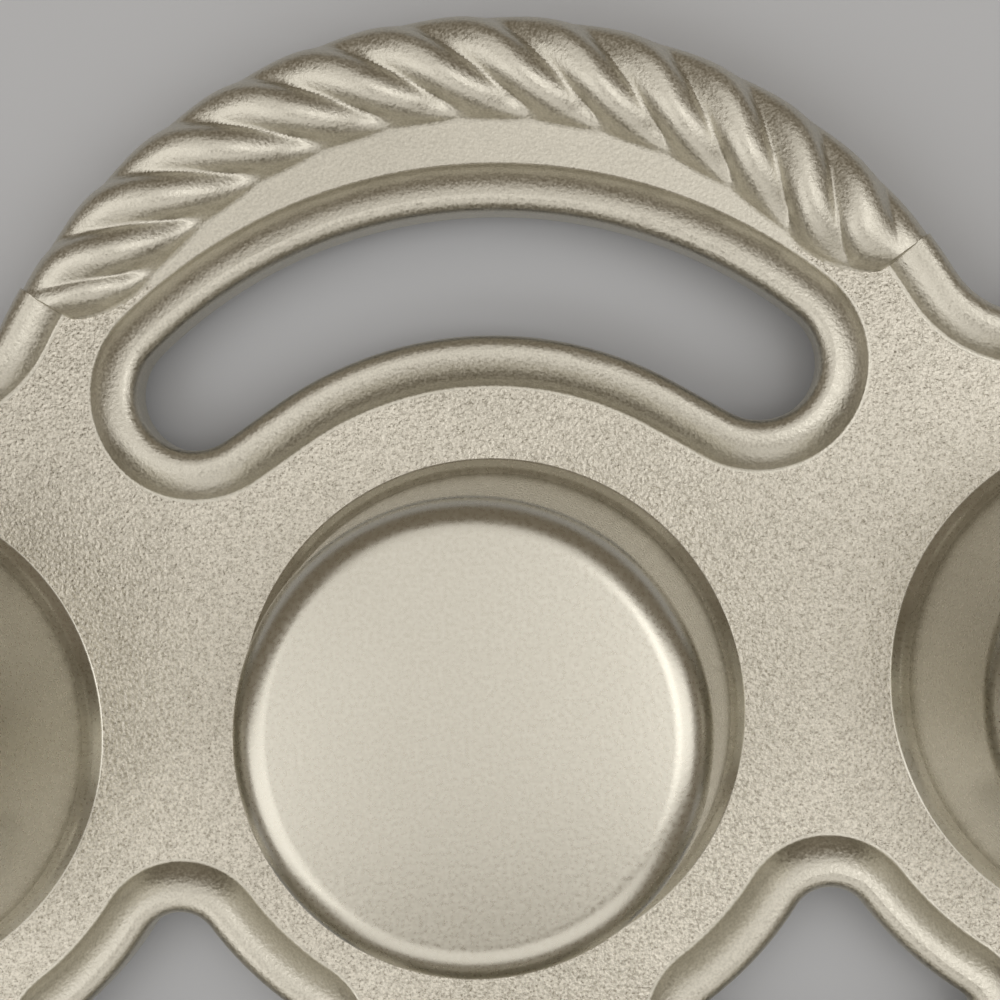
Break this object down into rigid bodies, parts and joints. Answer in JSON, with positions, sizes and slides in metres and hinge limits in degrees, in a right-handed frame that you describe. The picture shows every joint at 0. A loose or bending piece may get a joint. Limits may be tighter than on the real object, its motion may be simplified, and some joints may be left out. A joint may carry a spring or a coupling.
{
  "type": "popover pan",
  "caption": "Cast aluminium popover pan with tapered cups in a pierced deck, raised rims, and a twisted-rope handle with a finger slot at each end.",
  "frame": {"origin": "middle of the pan on the surface that it lies on, mouths down, as in the picture: the plane that its two rope handles touch", "axes": "+Z from the cups' mouths to their closed bottoms, +Y along the pan from one handle to the other, +X across it"},
  "size_m": [0.237, 0.387, 0.04],
  "materials": {
    "coated_aluminium": "satin champagne coating over fine-grained casting"
  },
  "bodies": {
    "root": {"cup_1": "coated_aluminium", "cup_10": "coated_aluminium", "cup_11": "coated_aluminium", "cup_12": "coated_aluminium", "cup_2": "coated_aluminium", "cup_3": "coated_aluminium", "cup_4": "coated_aluminium", "cup_5": "coated_aluminium", "cup_6": "coated_aluminium", "cup_7": "coated_aluminium", "cup_8": "coated_aluminium", "cup_9": "coated_aluminium", "deck_panel_1": "coated_aluminium", "deck_panel_10": "coated_aluminium", "deck_panel_11": "coated_aluminium", "deck_panel_12": "coated_aluminium", "deck_panel_2": "coated_aluminium", "deck_panel_3": "coated_aluminium", "deck_panel_4": "coated_aluminium", "deck_panel_5": "coated_aluminium", "deck_panel_6": "coated_aluminium", "deck_panel_7": "coated_aluminium", "deck_panel_8": "coated_aluminium", "deck_panel_9": "coated_aluminium", "edge_rim_left": "coated_aluminium", "edge_rim_right": "coated_aluminium", "handle_band_back": "coated_aluminium", "handle_band_front": "coated_aluminium", "rope_back": "coated_aluminium", "rope_front": "coated_aluminium", "slot_rim_back": "coated_aluminium", "slot_rim_front": "coated_aluminium", "window_rim_1": "coated_aluminium", "window_rim_2": "coated_aluminium", "window_rim_3": "coated_aluminium", "window_rim_4": "coated_aluminium", "window_rim_5": "coated_aluminium", "window_rim_6": "coated_aluminium"}
  },
  "joints": []
}
